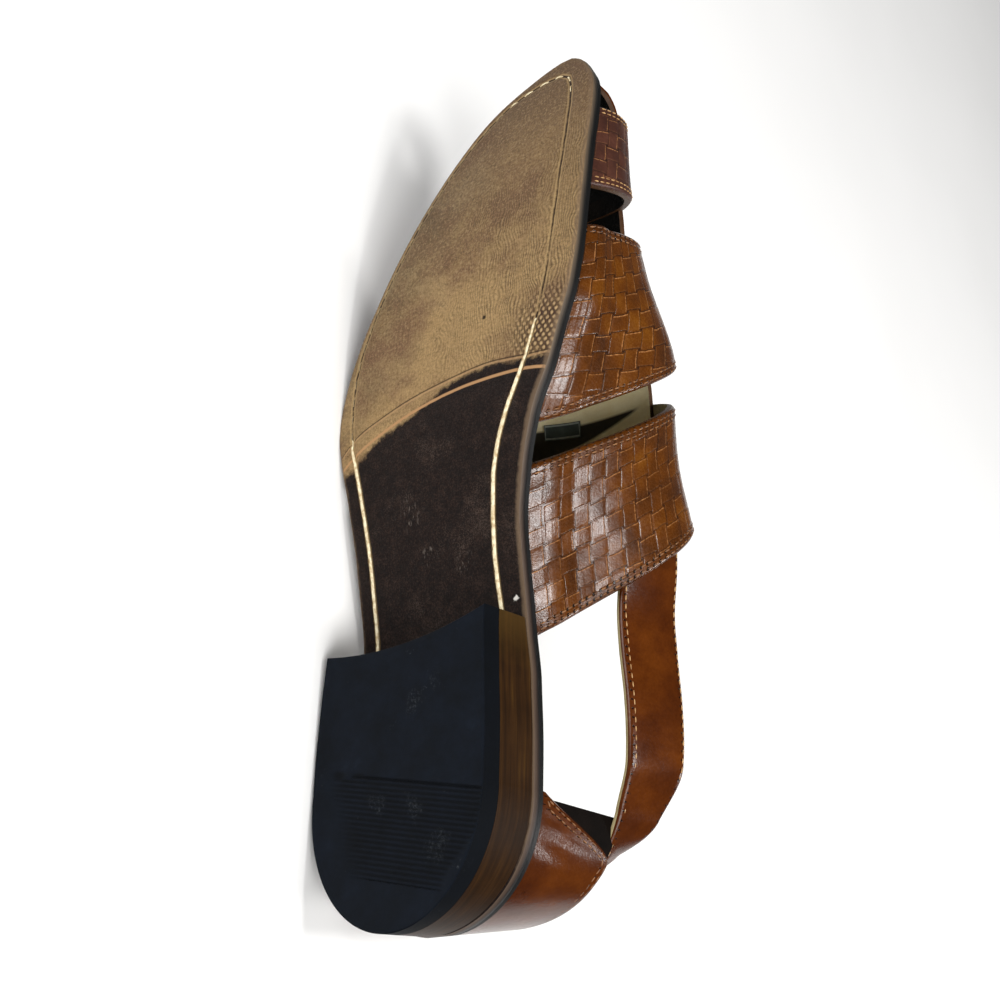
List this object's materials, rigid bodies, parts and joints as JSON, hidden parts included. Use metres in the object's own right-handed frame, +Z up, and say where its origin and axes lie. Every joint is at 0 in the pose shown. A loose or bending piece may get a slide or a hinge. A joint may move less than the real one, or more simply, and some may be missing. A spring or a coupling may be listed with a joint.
{
  "type": "fisherman sandal",
  "caption": "Fisherman sandal for the right foot: three woven-embossed leather bands over a centre strip, heel counter and strap, leather sole and low stacked heel, lying on its outer side.",
  "frame": {"origin": "on the floor under the centre of the box round the lying shoe", "axes": "+Y towards the toe, +X from the sole towards the top of the upper, +Z up, inner side of the shoe uppermost"},
  "size_m": [0.097, 0.3038, 0.1087],
  "materials": {
    "sole_leather": "smooth tan sole leather with a dark stained waist",
    "welt": "black dyed edge",
    "insole_leather": "matt dark brown lining leather",
    "heel_stack": "polished brown stacked leather",
    "heel_rubber": "matt black rubber with fine ribs",
    "upper_leather": "glossy cognac leather stamped with a basket weave"
  },
  "bodies": {
    "root": {"outsole": "sole_leather", "midsole": "welt", "insole": "insole_leather", "heel_block": "heel_stack", "top_lift": "heel_rubber", "upper": "upper_leather"}
  },
  "joints": []
}
